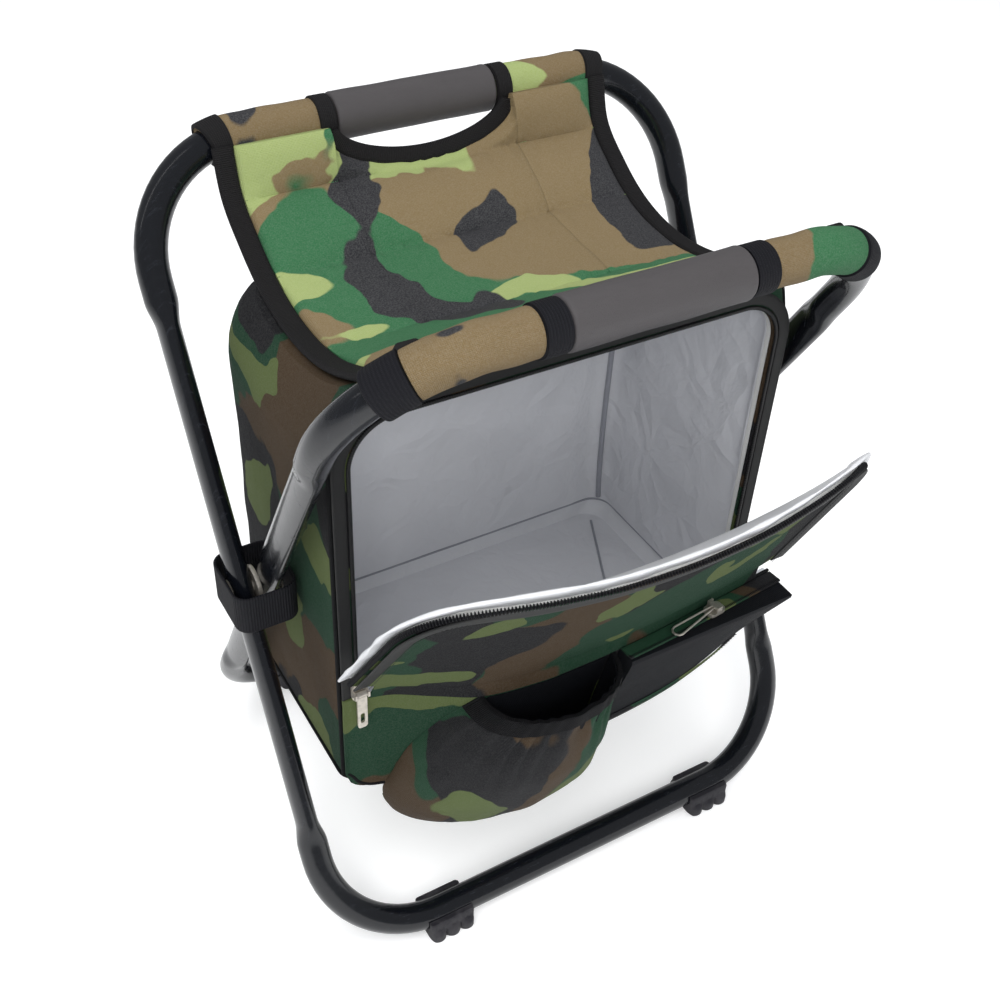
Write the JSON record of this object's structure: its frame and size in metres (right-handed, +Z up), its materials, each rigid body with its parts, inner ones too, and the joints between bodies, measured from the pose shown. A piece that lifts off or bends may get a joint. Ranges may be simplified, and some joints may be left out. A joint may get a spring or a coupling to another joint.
{
  "type": "folding cooler stool",
  "caption": "Folding camp stool with crossed tube loops, a slung padded seat, and a zipped insulated bag with an open lid, cup pocket and flat pouch between the legs.",
  "frame": {"origin": "on the floor, under the middle of the whole stool's box", "axes": "+Z up; the bag opens towards -Y; +X is on the right of someone who faces the opening"},
  "size_m": [0.3594, 0.3207, 0.4408],
  "materials": {
    "tube": "gloss",
    "bare_metal": "bright",
    "black_rubber": "matte",
    "grey_foam": "matte foam",
    "camo_cloth": "woven woodland camouflage",
    "dark_camo_cloth": "woven woodland camouflage",
    "black_webbing": "ribbed webbing",
    "black_cloth": "woven",
    "zip_tape": "woven tape and coil",
    "white_foam": "closed-cell foam",
    "liner": "satin film"
  },
  "bodies": {
    "outer_frame": {"outer_frame": "tube", "left_pivot_rivet": "bare_metal", "right_pivot_rivet": "bare_metal", "left_pivot_washer": "bare_metal", "right_pivot_washer": "bare_metal", "front_left_foot": "black_rubber", "front_right_foot": "black_rubber", "rear_grip": "grey_foam", "rear_left_sleeve": "camo_cloth", "rear_right_sleeve": "camo_cloth", "seat_panel": "camo_cloth", "seat_left_binding": "black_webbing", "seat_right_binding": "black_webbing", "hand_hole_binding": "black_webbing"},
    "inner_frame": {"inner_frame": "tube", "rear_left_foot": "black_rubber", "rear_right_foot": "black_rubber", "front_grip": "grey_foam", "front_left_inner_band": "black_webbing", "front_right_inner_band": "black_webbing", "front_left_sleeve": "camo_cloth", "front_right_sleeve": "camo_cloth", "front_left_outer_band": "black_webbing", "front_right_outer_band": "black_webbing"},
    "cooler_bag": {"bag_shell": "dark_camo_cloth", "bag_foam": "white_foam", "bag_liner": "liner", "opening_tape": "zip_tape", "opening_coil": "zip_tape", "front_panel": "dark_camo_cloth", "cup_pocket": "dark_camo_cloth", "cup_pocket_hem": "black_cloth", "flat_pouch": "black_cloth", "pouch_trim": "dark_camo_cloth", "pouch_strip": "dark_camo_cloth", "hinge_cloth": "dark_camo_cloth", "left_pivot_strap": "black_webbing", "right_pivot_strap": "black_webbing", "zip_slider": "bare_metal"},
    "lid": {"lid_skin": "dark_camo_cloth", "lid_foam": "white_foam", "lid_liner": "liner", "lid_tape": "zip_tape"},
    "zip_pull": {"zip_pull": "bare_metal"},
    "pouch_zip_slider": {"pouch_zip_slider": "bare_metal"},
    "pouch_zip_pull": {"pouch_zip_pull": "bare_metal"}
  },
  "joints": [
    {"name": "fold", "type": "hinge", "parent": "outer_frame", "child": "inner_frame", "pos_m": [0, 0.02364, 0.21811], "axis": [-1, 0, 0], "range_deg": [0, 50.4], "deforming": ["seat_panel", "seat_left_binding", "seat_right_binding", "hand_hole_binding"]},
    {"name": "bag_swing", "type": "hinge", "parent": "outer_frame", "child": "cooler_bag", "pos_m": [0, 0.02364, 0.21811], "axis": [-1, 0, 0], "range_deg": [0, 25.2]},
    {"name": "lid_hinge", "type": "hinge", "parent": "cooler_bag", "child": "lid", "pos_m": [0, -0.07436, 0.192], "axis": [1, 0, 0], "range_deg": [-34, 28], "deforming": ["hinge_cloth"]},
    {"name": "zip_pull_swing", "type": "hinge", "parent": "cooler_bag", "child": "zip_pull", "pos_m": [-0.1325, -0.05336, 0.1858], "axis": [-1, 0, 0], "range_deg": [0, 110]},
    {"name": "pouch_zip_slide", "type": "slide", "parent": "cooler_bag", "child": "pouch_zip_slider", "axis": [-0.9903, -0.1392, 0], "range_m": [-0.03, 0.045]},
    {"name": "pouch_zip_pull_swing", "type": "hinge", "parent": "pouch_zip_slider", "child": "pouch_zip_pull", "pos_m": [0.086, -0.08922, 0.1856], "axis": [-0.1392, 0.9903, 0], "range_deg": [0, 10]}
  ],
  "couplings": [
    {"joint": "bag_swing", "follows": "fold", "ratio": 0.5}
  ]
}
